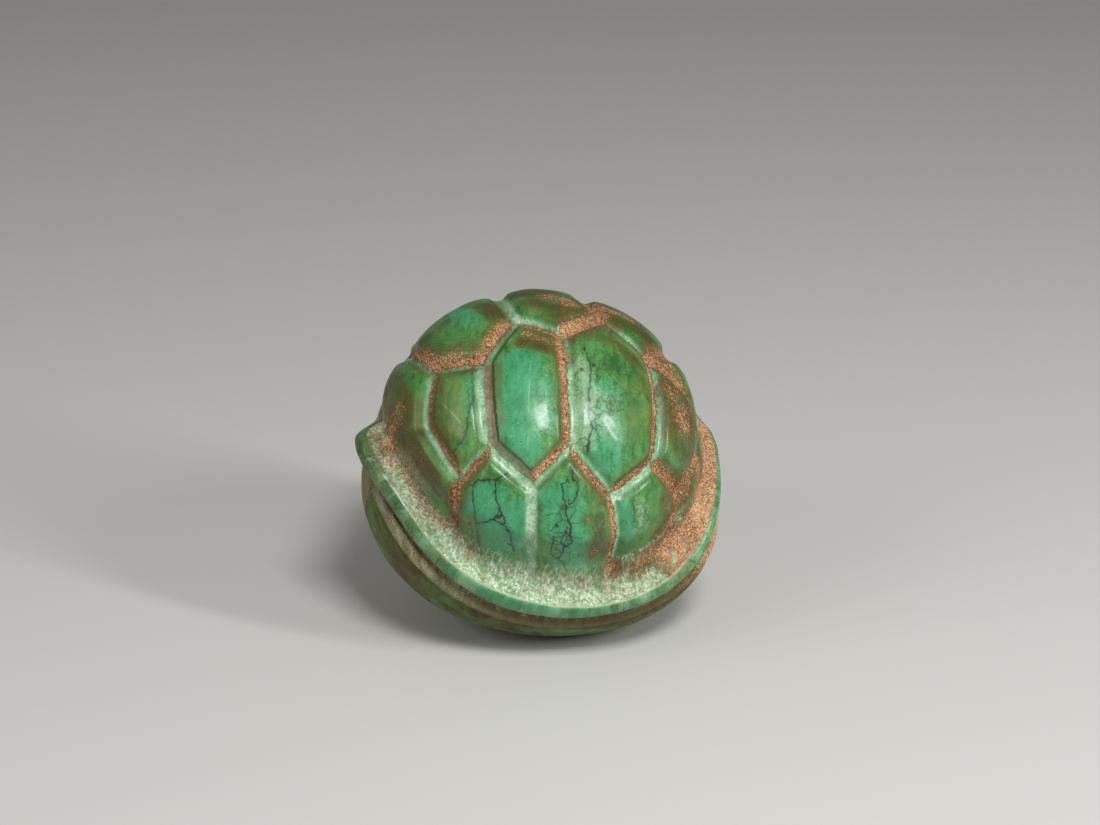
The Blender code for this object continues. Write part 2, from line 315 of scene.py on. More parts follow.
# %% [markdown]
# ## Scutes
#
# A carver marks the corners first and then cuts straight from one to the next. On a
# ball the straight way is the great circle, so each seam is an arc between two named
# corners. Its cut has two parts, a narrow channel and a wide rounding that makes the
# scutes swell like pillows. Where seams meet, a smooth maximum joins the cuts.
#
# The two walls of a seam differ in colour. Partly this is dirt, rust-brown on one wall
# and pale stone dust on the other, and partly painted light: a wall that faces the lamps
# is painted paler as a highlight, and one turned away is painted browner as shade. So
# each seam also says the tone of its left and right wall, from 1 for rust to -1 for pale.

# %% Mark the corners
CORNERS = {  # fall and turn in degrees; a corner's name says which scutes meet there
    "AEF": (17.5, 91.5), "EFJ": (25.5, 269.5), "ABE": (30.5, 121), "AFG": (34.5, 60),
    "BDE": (29.5, 165.5), "DEI": (37.5, 220), "FGH": (35.5, 22), "FHK": (43.5, 321),
    "EIJ": (41, 250.5), "FJK": (45, 292), "BCD": (48, 167), "CD": (53, 191),
    "CDI": (53, 219.5), "HKN": (63, 327), "HN": (68, 357), "GHN": (56, 8),
    "AB": (54, 110.5), "AG": (48, 73), "BC": (68, 151),
    "ABR": (94, 106), "AGR": (94, 74), "BCR": (92, 142), "GNR": (92, 35),
    "IJR": (84, 263), "JKR": (86, 293), "CIR": (86, 229), "KNR": (88, 313),
}
# A wall's tone is dirt and painted light at once: pale dust with a painted highlight below 0, rust with
# painted shade above 0.
# The dark line on the left and right is a painted shadow at the steep edge of a scute.
HIGH_SEAMS = (  # from, to, tone of the left and right wall, dark line on the left and right
    ("AEF", "EFJ", -0.8, 1.0, 0.0, 0.2), ("AEF", "ABE", 0.9, -0.9, 0.0, 0.2),
    ("AEF", "AFG", 1.0, 1.0, 0.6, 0.8), ("ABE", "BDE", -0.8, 0.9, 1.0, 0.0),
    ("BDE", "DEI", 0.30, -1.0, 1.0, 0.6), ("DEI", "EIJ", 0.1, -1.0, 0.8, 0.0),
    ("EIJ", "EFJ", 1.0, -0.6, 0.3, 0.0), ("AFG", "FGH", -0.8, 0.9, 0.2, 0.4),
    ("FGH", "FHK", -0.9, 1.0, 0.3, 0.2), ("FHK", "FJK", -1.0, 0.9, 0.0, 0.8),
    ("FJK", "EFJ", 0.9, -0.5, 0.0, 0.0), ("BDE", "BCD", -0.7, 0.9, 0.0, 0.0),
    ("BCD", "CD", 0.62, -0.7, 0.6, 0.1), ("CD", "CDI", 0.66, -0.7, 0.5, 0.0),
    ("CDI", "DEI", -0.4, 0.9, 0.0, 0.0), ("FHK", "HKN", 0.8, 0.9, 0.3, 0.2),
    ("HKN", "HN", 1.0, 0.9, 0.5, 0.2), ("HN", "GHN", 0.9, 0.9, 0.5, 0.0),
    ("GHN", "FGH", 0.9, 0.9, 0.3, 0.0), ("BCD", "BC", -0.7, 0.9, 0.0, 0.0),
    ("BC", "BCR", -0.5, 0.9, 0.0, 0.0), ("ABE", "AB", -0.4, -0.7, 0.6, 0.0),
    ("AB", "ABR", -0.4, -0.7, 0.4, 0.0), ("AFG", "AG", 0.9, 0.9, 0.6, 0.0),
    ("AG", "AGR", 0.9, 0.9, 0.4, 0.0), ("FGH", "GNR", 0.9, 0.8, 0.2, 0.0),
)
LOW_SEAMS = (  # the same for the seams that run down to the skirt
    ("EIJ", "IJR", -0.9, -1.1, 0.0, 0.0), ("FJK", "JKR", -0.6, 1.0, 0.0, 0.0),
    ("CDI", "CIR", 0.75, 0.6, 0.0, 0.3), ("HKN", "KNR", 1.0, 1.0, 0.3, 0.0),
)


def arc_offset(start, end):
    """Distance in mm of every point from the arc, and from its whole circle: left is +."""
    pole = np.cross(start, end)
    pole /= np.linalg.norm(pole)
    across = np.arcsin(np.clip(facing @ pole, -1.0, 1.0))
    beside = (facing @ np.cross(pole, start) > 0) & (facing @ np.cross(end, pole) > 0)
    to_ends = np.arccos(np.clip(np.maximum(facing @ start, facing @ end), -1.0, 1.0))
    return np.where(beside, np.abs(across), to_ends) * DOME, across * DOME


facing = direction(fall, turn)
corner = {name: direction(*place) for name, place in CORNERS.items()}
print(len(corner), "corners,", len(HIGH_SEAMS) + len(LOW_SEAMS), "seams")

# %% Cut the seams
CHANNEL_DEPTH, CHANNEL_WIDTH, LOW_CHANNEL_WIDTH = 0.7, 1.5, 1.15  # mm
CHANNEL_STEEPNESS = 4.0  # power that gives the channel a broad floor between steep walls
PILLOW_DEPTH, PILLOW_WIDTH = 0.55, 2.8  # mm
LOW_SHARE = 0.65  # the seams that run down to the skirt are shallower
SEAM_BLEND = 5.0  # power of the smooth maximum
FAR_AWAY = 9.0  # mm, more than a seam or a vein reaches

cut_power = np.zeros(len(facing))
seam_side = np.full(len(facing), FAR_AWAY)  # mm from the nearest seam's line, left is +
seam_reach = np.full(len(facing), FAR_AWAY)  # mm from the nearest seam
tones = np.zeros((4, len(facing)))
for seams, width, share in (
    (HIGH_SEAMS, CHANNEL_WIDTH, 1.0), (LOW_SEAMS, LOW_CHANNEL_WIDTH, LOW_SHARE)
):
    for start, end, *seam_tones in seams:
        away, sided = arc_offset(corner[start], corner[end])
        channel = CHANNEL_DEPTH * np.exp(-((away / width) ** CHANNEL_STEEPNESS))
        pillow = PILLOW_DEPTH * np.exp(-((away / PILLOW_WIDTH) ** 2))
        cut_power += (share * (channel + pillow)) ** SEAM_BLEND
        # A narrow channel is stored as if it were a wide one, so its colours are narrow too.
        away, sided = away * CHANNEL_WIDTH / width, sided * CHANNEL_WIDTH / width
        nearer = away < seam_reach
        seam_reach[nearer] = away[nearer]
        seam_side[nearer] = sided[nearer]
        tones[:, nearer] = np.array(seam_tones)[:, None]
fade = np.clip((SKIRT_SHARE - level) / (SKIRT_SHARE - SEAM_SHARE), 0.0, 1.0)
cut = cut_power ** (1.0 / SEAM_BLEND) * fade
print("deepest seam:", cut.max().round(2), "mm")

# %% [markdown]
# ## The carver's hand
#
# Nothing on a hand-carved stone is quite even. Slow noise makes the scutes a little
# lumpy, faster noise roughens the skirt and the groove where the burr was not polished
# out, and a few small pits mark where it was set down. All of it only takes stone
# away, so the shell stays within the solid's box. Then every point is moved towards
# the hub by its whole cut.


# %% Roughen the carving
def lumps(size, seed):
    """Noise from 0 to 1 at every point, with lumps of about that size in mm."""
    shift = Vector((seed * 7.3, seed * 3.1, seed * 5.7))
    return np.array([0.5 + 0.5 * noise.noise(Vector(p) / size + shift) for p in carving])


BURR_PITS = (  # fall, turn, half width in mm, depth in mm
    (36.8, 253.2, 0.55, 0.30), (40.4, 218.6, 0.5, 0.25), (45.5, 294.5, 0.5, 0.25),
)
LUMP_SIZE, LUMP_DEPTH = 6.0, 0.22  # mm
BURR_SIZE, POLISHED_DEPTH, UNPOLISHED_DEPTH = 1.3, 0.04, 0.10  # mm
ROUGH_FROM, ROUGH_TO = (0.45, 0.50), (0.78, 0.84)  # levels where the roughness comes and goes

rough_share = soft_step(level, *ROUGH_FROM) * (1.0 - soft_step(level, *ROUGH_TO))
cut += LUMP_DEPTH * lumps(LUMP_SIZE, 1) * (1.0 - 0.5 * rough_share)
cut += (POLISHED_DEPTH + UNPOLISHED_DEPTH * rough_share) * lumps(BURR_SIZE, 2)
for pit_fall, pit_turn, half_width, depth in BURR_PITS:
    spot = direction(pit_fall, pit_turn)
    away = DOME * np.arccos(np.clip(facing @ spot, -1.0, 1.0))
    cut += depth * np.exp(-((away / half_width) ** 2))
carving *= (1.0 - cut / np.linalg.norm(carving, axis=1))[:, None]
print("deepest cut with the hand's marks:", cut.max().round(2), "mm")

# %% [markdown]
# ## Laying it down
#
# So far the dome points straight up. The real shell lies on its belly, with the dome
# tipped towards the camera and leaning a little to the right, and it stands still
# because the lowest place is worn flat. The three rotations below lay it down, and
# whatever would reach below the floor is eased up into the flat.

# %% Turn the shell and wear its flat
SPINE_TURN, TIP_TO_FRONT, LEAN_TO_SIDE = 13.0, 37.0, 14.0  # degrees
FLAT_BLEND, FLAT_SINK = 0.8, 0.15  # mm
FLAT_EDGE = 0.25  # mm, the height at which the wear of the flat ends
HUB_ABOVE_FLAT = 29.3  # mm, before the shell sinks

lay = (
    Matrix.Rotation(math.radians(LEAN_TO_SIDE), 3, "Y")
    @ Matrix.Rotation(math.radians(TIP_TO_FRONT), 3, "X")
    @ Matrix.Rotation(math.radians(SPINE_TURN), 3, "Z")
)
placed = carving @ np.array(lay).T + (DOME_HUB.x, DOME_HUB.y, HUB_ABOVE_FLAT)
eased = FLAT_BLEND * np.clip(placed[:, 2] / FLAT_BLEND + 1.0, 0.0, 2.0) ** 2 / 4.0
placed[:, 2] = np.where(placed[:, 2] < FLAT_BLEND, eased, placed[:, 2]) - FLAT_SINK
low_corner, high_corner = np.array(solid_box) / MM
placed = np.clip(placed, low_corner, high_corner)
on_flat = soft_step(-placed[:, 2], -FLAT_EDGE, 0.0)
print("flat:", np.ptp(placed[placed[:, 2] < 0.01], axis=0).round(1), "mm")

# %% Finish the piece's mesh
for vert, place in zip(blank.verts, placed * MM):
    vert.co = place
bmesh.ops.recalc_face_normals(blank, faces=blank.faces)
shell_mesh = bpy.data.meshes.new("carved_shell")
blank.to_mesh(shell_mesh)
blank.free()
shell_mesh.shade_smooth()
shell = bpy.data.objects.new("carved_shell", shell_mesh)
bpy.context.scene.collection.objects.link(shell)
triangles = sum(len(face.vertices) - 2 for face in shell_mesh.polygons)
print("carved shell:", triangles, "triangles")

# %% [markdown]
# ## Where the colours lie
#
# The stone's colours don't follow its relief alone. Some scutes are bluer, some more
# olive, and rust-brown dirt lies thick on the right end and in patches on the left.
# Each such place is brushed on with a few soft strokes, whose ends are given by fall
# and turn as the corners are. Each kind of stroke becomes one attribute of the mesh,
# a number per point, which the material reads. A picture wrapped round the shell
# could do the same, but it would have to be painted and stored.


# %% Store a value per point
def store(name, values):
    kept = shell_mesh.attributes.new(name, "FLOAT", "POINT")
    kept.data.foreach_set("value", np.ascontiguousarray(values, dtype=np.float32))


def strokes(*brushed, spread=1.0):
    """Soft strokes: (strength, half width in mm, places as (fall, turn)); the strongest counts."""
    total = np.zeros(len(facing))
    for strength, half_width, *places in brushed:
        spots = [direction(*place) for place in places]
        away = [np.arccos(np.clip(facing @ spot, -1.0, 1.0)) * DOME for spot in spots]
        away += [arc_offset(here, there)[0] for here, there in zip(spots, spots[1:])]
        away = np.min(away, axis=0)
        stroke_end = 2.0 * half_width * spread
        total = np.maximum(total, strength * (1.0 - soft_step(away, 0.1 * stroke_end, stroke_end)))
    return total


print("brush ready for", len(facing), "points")

# %% Brush on the rust-brown dirt
RUST_STROKES = (  # strength, half width in mm, then places as fall and turn, as in the next tables
    (0.85, 2.0, (40, 92), (38, 86), (35, 83)), (1, 1.8, (22, 80), (27, 70), (35, 63)),
    (0.9, 1.2, (43, 64), (29, 54)), (0.9, 1.4, (18, 92), (19, 82)),
    (0.8, 0.7, (14, 97), (6, 90)), (0.9, 1.3, (45, 67), (43, 58), (46, 49)),
    (0.6, 1.2, (40, 30), (46, 28)), (0.75, 0.8, (21, 128), (17, 124), (14, 117)),
    (0.95, 0.8, (31, 133), (30, 146)), (0.95, 1.5, (38, 22), (47, 21)),
    (0.8, 0.5, (48, 21), (54, 12), (52, 357), (58, 350)),
    (0.85, 2.3, (43, 1), (46, 355), (48, 348)), (0.5, 1.5, (48, 13), (43, 5)),
    (0.8, 1.5, (43, 163), (39, 163), (34, 162)), (0.9, 1.2, (57, 155), (52, 160), (46, 164)),
    (0.85, 1.8, (74, 185), (68, 182), (63, 180)), (0.55, 1.5, (65, 196), (63, 202)),
    (0.6, 1.2, (71, 173), (69, 170)), (0.9, 1.1, (58, 222), (67, 225)),
    (0.5, 1.2, (64, 231), (78, 237)), (0.8, 1, (66, 283)), (0.5, 0.6, (51, 278), (51, 280)),
    (0.5, 0.4, (46, 284)), (0.9, 1.3, (81, 292), (80, 294)), (0.6, 0.6, (62, 287), (69, 289)),
    (0.7, 1, (59, 318), (65, 319)), (0.45, 0.8, (64, 312), (68, 310)),
    (1, 2.2, (71, 344), (78, 338), (80, 330), (81, 322), (82, 315)),
    (0.8, 1.3, (79, 311), (80, 303)), (0.4, 1, (85, 300), (86, 296)),
    (0.9, 1.6, (67, 332), (60, 334)),
)
SKIRT_RUST, LEAST_RUST, MOST_RUST = ((345, 32, 42, 1.25), (90, 50, 50, 0.45)), 0.05, 1.25
INNER_SKIRT, OUTER_SKIRT = (0.43, 0.47), (0.465, 0.505)  # levels where each begins
OUTER_CLEAN = 0.75  # share of the dirt that is gone from the outer skirt in front

skirt_rust = bulges(LEAST_RUST, *SKIRT_RUST)
skirt_rust = np.clip(skirt_rust, 0.0, MOST_RUST) * soft_step(level, *INNER_SKIRT)
outer_skirt = soft_step(level, *OUTER_SKIRT) * soft_step(-turn, -332, -306) * (turn > 180)
skirt_rust *= 1.0 - OUTER_CLEAN * outer_skirt
rust = np.maximum(strokes(*RUST_STROKES), skirt_rust)
store("rust", rust)
print("thick dirt on", round(100 * float((rust > 0.5).mean())), "percent of the points")

# %% Brush on the thin dirt
FILM_STROKES = (
    (0.9, 2.8, (47, 99), (38, 82)), (1, 3.6, (73, 170), (69, 188), (65, 201)),
    (0.9, 1.8, (60, 194), (61, 205), (62, 214)), (0.55, 2.6, (75, 159), (61, 174)),
    (1, 3.2, (46, 13), (45, 356), (51, 343)), (0.25, 0.8, (25, 154), (26, 201), (30, 220)),
    (0.8, 1.4, (19, 136), (11, 114)), (0.5, 1.2, (23, 44), (28, 14)),
    (0.85, 1.3, (77, 186), (74, 197), (75, 209), (77, 217), (77, 223)),
    (0.45, 0.8, (79, 197), (80, 204), (81, 214)), (0.6, 1.6, (74, 226), (80, 237)),
    (0.5, 1.6, (74, 287), (62, 281)), (0.6, 1.4, (58, 317), (72, 311)),
    (0.8, 1.6, (45, 124), (34, 128)), (0.5, 1.6, (48, 155), (41, 159)),
    (0.6, 1.2, (44, 175), (48, 193), (50, 210)), (0.6, 1.6, (41, 46), (46, 29)),
    (0.7, 1.6, (60, 154), (44, 164)), (0.7, 1.2, (52, 284), (65, 284)),
    (0.6, 1.4, (77, 310), (81, 304)),
)
FOOT_DUST_STROKES = ((0.8, 1.6, (73, 191), (70, 200), (70, 211), (75, 219)),)

thin_dirt = np.maximum(0.8 * strokes(*RUST_STROKES, spread=2.0), strokes(*FILM_STROKES))
thin_dirt = np.maximum(thin_dirt, 1.7 * skirt_rust)
store("film", thin_dirt)
store("foot_dust", strokes(*FOOT_DUST_STROKES))
print("thin dirt on", round(100 * float((thin_dirt > 0.5).mean())), "percent of the points")

# %% Brush on olive, teal and pale stone, and painted highlights
OLIVE_STROKES = (
    (0.7, 2.4, (35, 102), (28, 93), (35, 74)), (0.7, 1.6, (52, 125), (44, 124), (34, 129)),
    (0.5, 2.2, (55, 148), (53, 143)), (0.4, 1, (45, 143)),
    (0.8, 1.2, (20, 140), (14, 130), (10, 118)), (0.5, 0.8, (23, 170), (25, 198), (28, 216)),
    (0.35, 1, (13, 145), (8, 154)), (0.7, 1.2, (20, 51), (23, 32), (26, 17)),
    (0.7, 1, (26, 5), (30, 347), (33, 328)), (0.45, 2.5, (23, 348), (30, 322)),
    (0.3, 1.5, (38, 299)), (0.6, 3, (42, 181), (45, 201)), (0.5, 1.5, (48, 212)),
    (0.7, 2.5, (59, 178), (59, 190)), (0.8, 1.5, (60, 201), (59, 211)),
    (0.9, 1.5, (38, 55), (43, 40), (46, 29)), (0.8, 2, (39, 4), (42, 340)),
    (0.5, 1.5, (55, 319), (75, 311)), (0.35, 1, (58, 303)), (0.45, 1, (60, 282), (72, 283)),
    (0.4, 1.2, (52, 223)),
)
TEAL_STROKES = (
    (0.9, 3.2, (16, 171), (20, 211), (32, 237)), (0.6, 2.5, (11, 210), (20, 243)),
    (0.7, 3.2, (20, 300), (33, 292)), (0.5, 2, (8, 324), (17, 339)),
    (1, 3, (52, 236), (69, 243), (61, 236)), (0.9, 2, (51, 249), (67, 251)),
    (0.9, 3, (44, 266), (55, 270), (71, 277)), (0.8, 1.2, (50, 297), (63, 298)),
    (0.6, 2.2, (56, 132), (43, 137)), (0.5, 1.6, (33, 179), (34, 196)),
    (0.6, 0.9, (48, 329), (51, 329)),
)
# The pale strokes are partly milky stone and partly painted highlight on the brightest places of the
# scutes.
PALE_AND_SHEEN_STROKES = (
    (0.4, 2.2, (16, 233), (21, 245)), (0.6, 1.6, (6, 48), (7, 318)),
    (0.65, 2.0, (10, 305), (24, 281)), (0.5, 2.0, (17, 324), (22, 300)),
    (0.7, 1.2, (30, 162), (29, 171)), (0.6, 1.4, (34, 120), (28, 120)), (0.4, 1.6, (54, 284)),
    (0.5, 1.5, (53, 304), (61, 303)),
)
for name, brushed in (("olive", OLIVE_STROKES), ("teal", TEAL_STROKES), ("pale", PALE_AND_SHEEN_STROKES)):
    store(name, strokes(*brushed))
    print(name, "stone:", len(brushed), "strokes")

# %% Brush on the fine cracks
CRACKLE_STROKES = (
    (1.0, 2.6, (50, 268), (66, 272)), (0.8, 1.6, (14, 305), (26, 286)), (0.6, 2.0, (60, 244)),
    (0.5, 2.2, (20, 355), (16, 20)), (0.7, 5.0, (125, 20), (112, 60)),
    (0.6, 5.0, (140, 150), (120, 170)), (0.5, 3.0, (108, 262)),
)
store("crackle", strokes(*CRACKLE_STROKES))
print("fine cracks:", len(CRACKLE_STROKES), "strokes")

# %% Mark the lip, the ridge and the belly
AROUND_MARKS = {  # turn of the middle, half width before and after it, strength
    "near_rim": (258, 20, 24, 1.0),  # where the lip is teal
    "left_rim": (190, 13, 17, 1.0),  # where it is olive
    "right_rim": (326, 16, 22, 1.0),  # where it is broad and green
    # where the crest of the lip gets a painted highlight
    "crest_highlight": (262, 28, 40, 1.0),
    # where the ridge is pale: tan stone with a painted highlight along it
    "ridge_tan_and_highlight": (212, 16, 30, 1.0),
}
BROWN_BELLY, COPPER_RIDGE = (218, 6, 6, 1.0), (308, 22, 60, 1.3)

for name, mark in AROUND_MARKS.items():
    store(name, bulges(0.0, mark))
tan_facet = soft_step(level, 0.765, 0.780) * soft_step(-level, -0.92, -0.84)
store("tan_facet", tan_facet * soft_step(turn, 168, 187) * soft_step(-turn, -196, -194.5))
brown_belly = bulges(0.0, BROWN_BELLY) * soft_step(level, 0.765, 0.785)
copper_ridge = bulges(0.0, COPPER_RIDGE) * soft_step(-level, -0.80, -0.77)
store("brown_belly", np.clip(np.maximum(brown_belly, copper_ridge), 0.0, 1.0))
store("on_flat", on_flat)
print("marks:", list(AROUND_MARKS))

# %% Store the levels and the seams
AROUND_SIZE, DOWN_SIZE = 26.0, 45.0  # mm, the shell's reach and its way down from level 0 to 1

store("level", level)
store("seam_side", seam_side)
store("seam_reach", seam_reach)
for name, values in zip(("left_tone", "right_tone", "left_line", "right_line"), tones):
    store(name, values * fade)
around = shell_mesh.attributes.new("around", "FLOAT_VECTOR", "POINT")
stretched = np.stack(
    [AROUND_SIZE * np.cos(np.radians(turn)), AROUND_SIZE * np.sin(np.radians(turn)), DOWN_SIZE * level],
    axis=1,
)
around.data.foreach_set("vector", stretched.astype(np.float32).ravel())
print(len(shell_mesh.attributes), "attributes in all")

# %% [markdown]
# ## Veins
#
# Dark veins of the mother rock wander through the scutes on the near flank, and small
# dark blots lie beside them. They are only colour, so nothing is cut. A vein could be
# drawn as a stroke too, but it is much finer than the mesh. So the distance from it is
# stored with a side, + on the left and - on the right: between two points on either
# side of the vein the value passes through zero exactly where the vein runs, and the
# line stays crisp. A second attribute holds the plain distance, which ends the line.

# %% Trace the veins
VEINS = (  # strength, below 0 for a pale scratch, then places as turn and fall in degrees
    (0.8, (226.4, 51.4), (228.5, 53.7), (232.9, 58.5), (235.8, 64.9), (238.4, 74.5), (241, 80)),
    (0.9, (226, 51), (226.9, 48.5), (230, 46.4), (233.1, 45.1), (234.9, 43.1), (236, 41.7)),
    (1.0, (233.9, 45), (235.7, 47.9), (237.9, 50.3), (240.8, 52.4), (242.9, 54.1), (245.1, 55.8),
     (245.8, 57.5), (248.2, 59.4), (250.5, 64.6), (252.4, 69.5)),
    (0.9, (235.7, 62.5), (238.3, 59.6), (240.3, 57.5), (241.5, 54.2), (240.8, 52.4)),
    (0.9, (240.7, 57.3), (242.9, 57.1), (245.8, 57.5)),
    (1.0, (271.4, 33.8), (271.1, 36.6), (273.3, 37.7), (274.4, 39.9), (273.6, 42), (271.4, 44.5),
     (268.8, 46), (268.9, 48.6), (270.7, 51.3), (272, 54.4), (271.8, 56.4), (273.2, 58.7),
     (272.4, 60.1), (270.6, 61.7), (270.7, 65.5), (270.4, 69.9)),
    (0.8, (267.1, 37.9), (265.7, 38.6), (266.6, 42.1), (268.8, 46)),
    (0.9, (270.6, 52.4), (269.2, 56.5), (268.5, 58.7), (270.6, 61.7)),
    (0.6, (265.9, 57.1), (269, 56.7)),
    (0.8, (265.5, 57.6), (265.7, 61.1), (266.4, 66.8), (268.6, 69.4), (270.5, 70.3),
     (273.2, 73.3), (274.6, 77.1), (277.4, 79.1)),
    (0.7, (184.9, 31), (192.2, 33.9), (197.4, 36.2), (203.1, 38.5), (207.9, 41.1),
     (208.7, 43.7), (209.9, 46.8), (209.8, 50.6)),
    (0.8, (54.8, 11), (28, 8.4), (1, 7.4), (304.5, 10.7), (299.3, 13), (290.2, 17),
     (290.3, 20.8), (285.7, 23.3), (282.4, 27.4)),
    (0.5, (3.2, 19), (3.1, 21.4), (351.1, 21), (345.8, 21.9), (347.1, 24.9), (354.6, 27), (1.8, 27)),
    (0.5, (340.7, 19.4), (345.2, 21.5)),
    (0.4, (33, 16.2), (28, 18), (22.3, 22.7), (10.1, 23.6)),
    (0.4, (25.1, 16.7), (11.6, 16.8), (359.2, 17.5)),
    (1.0, (193.5, 89.5), (194.5, 97.4), (195, 104.8), (195, 114)),
    (0.6, (203, 93), (206, 98), (209, 100)),
    (-0.3, (168.8, 13.1), (216.2, 17.4), (237.8, 27.9), (245.8, 36.9)),
    (-0.35, (188.4, 43.3), (196.5, 41.0), (204.7, 39.8)),
)
BLOTS = (  # laid out as the strokes are
    (0.9, 0.35, (53, 265.9)), (0.9, 0.4, (66.4, 250.1)), (0.8, 0.35, (55.2, 242.3)),
    (0.6, 0.35, (58.2, 271.6)), (0.5, 0.6, (4.5, 14.6)), (0.5, 0.5, (17.6, 288)),
    (0.5, 0.6, (9, 20)),
)

vein_reach = np.full(len(facing), FAR_AWAY)
vein_side = np.full(len(facing), FAR_AWAY)
vein_strength = np.zeros(len(facing))
for strength, *places in VEINS:
    for (turn_a, fall_a), (turn_b, fall_b) in zip(places, places[1:]):
        away, sided = arc_offset(direction(fall_a, turn_a), direction(fall_b, turn_b))
        nearer = away < vein_reach
        vein_reach[nearer], vein_side[nearer] = away[nearer], sided[nearer]
        vein_strength[nearer] = strength
store("vein_side", vein_side)
store("vein_reach", vein_reach)
store("vein_strength", vein_strength)
store("blots", strokes(*BLOTS))
print(len(VEINS), "veins and", len(BLOTS), "blots")

# %% [markdown]
# ## The stone's material
#
# The material is built in layers, as the colours lie on the stone: the mottled green
# of the stone itself, its veins, the pale dust of the unpolished cuts, and on top the
# rust-brown dirt. Some layers are painted light instead: highlights and glints, and
# dark lines of shade. Each layer is a mask and a colour, mixed over the layer below. It
# could be painted on a picture instead, but noise stays sharp at every size, and the
# attributes from the last steps say where each layer lies. A few short helpers keep
# the node code readable.

# %% Helpers for nodes
stone = bpy.data.materials.new("green_stone")
stone.use_nodes = True
tree = stone.node_tree
shader = tree.nodes["Principled BSDF"]


def node(kind, values=(), **settings):
    """A new node. values maps its sockets to numbers, or to sockets to link from."""
    made = tree.nodes.new("ShaderNode" + kind)
    for key, value in settings.items():
        setattr(made, key, value)
    for key, value in dict(values).items():
        if isinstance(value, bpy.types.NodeSocket):
            tree.links.new(value, made.inputs[key])
        else:
            made.inputs[key].default_value = value
    return made


def math_node(operation, *values):
    return node("Math", enumerate(values), operation=operation).outputs[0]


def attribute(name):
    return node("Attribute", attribute_name=name).outputs["Fac"]


in_mm = node("Mapping", {"Vector": node("TexCoord").outputs["Object"],
                         "Scale": (1000.0, 1000.0, 1000.0)}).outputs[0]
along_outline = node("Attribute", attribute_name="around").outputs["Vector"]
print("material", stone.name, "started")


# %% Helpers for masks
def fold(operation, values):
    result = values[0]
    for value in values[1:]:
        result = math_node(operation, result, value)
    return result


def both(*masks):
    """Masks multiplied with each other."""
    return fold("MULTIPLY", masks)


def plus(*values):
    return fold("ADD", values)


def highest(*values):
    return fold("MAXIMUM", values)


def rise(value, start, end):
    """0 below start, 1 above end, smooth between; start may be the larger one."""
    made = node("MapRange", {0: value, 1: start, 2: end, 3: 0.0, 4: 1.0},
                interpolation_type="SMOOTHSTEP")
    return made.outputs[0]


def band(value, start, full, last, end):
    """1 from full to last, 0 before start and after end."""
    return both(rise(value, start, full), rise(value, end, last))


print("helpers for masks ready")


# %% Helpers for colours and noise
def over(mask, below_colour, colour, opacity):
    """A layer of colour over what lies below it, where the mask is."""
    if isinstance(colour, tuple):
        colour = (*colour, 1.0)
    made = node("Mix", {0: both(mask, opacity), 6: below_colour, 7: colour}, data_type="RGBA")
    return made.outputs[2]


def ramp(value, *stops):
    """A colour for each value, between stops of (value, colour)."""
    made = node("ValToRGB", {0: value})
    made.color_ramp.elements[0].position, made.color_ramp.elements[1].position = 0.0, 1.0
    while len(made.color_ramp.elements) < len(stops):
        made.color_ramp.elements.new(0.5)
    for element, (place, colour) in zip(made.color_ramp.elements, stops):
        element.position, element.color = place, (*colour, 1.0)
    return made.outputs[0]


def speckle(vector, per_mm, detail=3.0, distortion=0.0):
    """Soft noise from 0 to 1, with that many lumps in a mm."""
    made = node("TexNoise", {"Vector": vector, "Scale": per_mm, "Detail": detail,
                             "Distortion": distortion})
    return made.outputs[0]


def centred(value, strength):
    """Noise moved to the middle: from -strength/2 to strength/2."""
    return math_node("MULTIPLY", math_node("SUBTRACT", value, 0.5), strength)


print("helpers for colours and noise ready")

# %% Mottled green
DEEP, EMERALD = (0.030, 0.105, 0.025), (0.055, 0.180, 0.045)
LEAF, MINT = (0.085, 0.245, 0.065), (0.170, 0.340, 0.120)
TEAL_DARK, TEAL = (0.028, 0.200, 0.076), (0.046, 0.280, 0.124)
TEAL_LIGHT, MILK = (0.092, 0.360, 0.188), (0.330, 0.480, 0.310)
OLIVE_DARK, OLIVE, OLIVE_LIGHT = (0.045, 0.060, 0.008), (0.105, 0.110, 0.018), (0.150, 0.210, 0.050)

cloud = speckle(in_mm, per_mm=0.16, detail=4.0, distortion=0.8)
slanted = node("Mapping", {"Vector": in_mm, "Rotation": (0.5, 0.2, 0.3),
                           "Scale": (1.0, 0.35, 0.45)}).outputs[0]
streak = speckle(slanted, per_mm=0.9, detail=5.0, distortion=0.5)
grit = speckle(in_mm, per_mm=2.6, detail=4.0)
mottle = plus(both(cloud, 0.5), both(streak, 0.5), centred(grit, 0.30))
ragged = plus(centred(streak, 0.9), centred(grit, 0.8))


def brushed_mask(name, start, end):
    """Where the strokes of that name lie, with a ragged border."""
    return rise(plus(attribute(name), ragged), start, end)


teal_shade = ramp(mottle, (0.34, TEAL_DARK), (0.50, TEAL), (0.70, TEAL_LIGHT))
olive_shade = ramp(mottle, (0.38, OLIVE_DARK), (0.52, OLIVE), (0.68, OLIVE_LIGHT))
green = ramp(mottle, (0.36, DEEP), (0.46, EMERALD), (0.56, LEAF), (0.74, MINT))
green = over(brushed_mask("teal", 0.20, 0.75), green, teal_shade, 0.90)
green = over(brushed_mask("olive", 0.20, 0.80), green, olive_shade, 0.80)
# Milky stone, partly a painted highlight.
green = over(brushed_mask("pale", 0.20, 0.85), green, MILK, 0.65)
print("green stone: teal, olive and pale patches over a mottled ground")

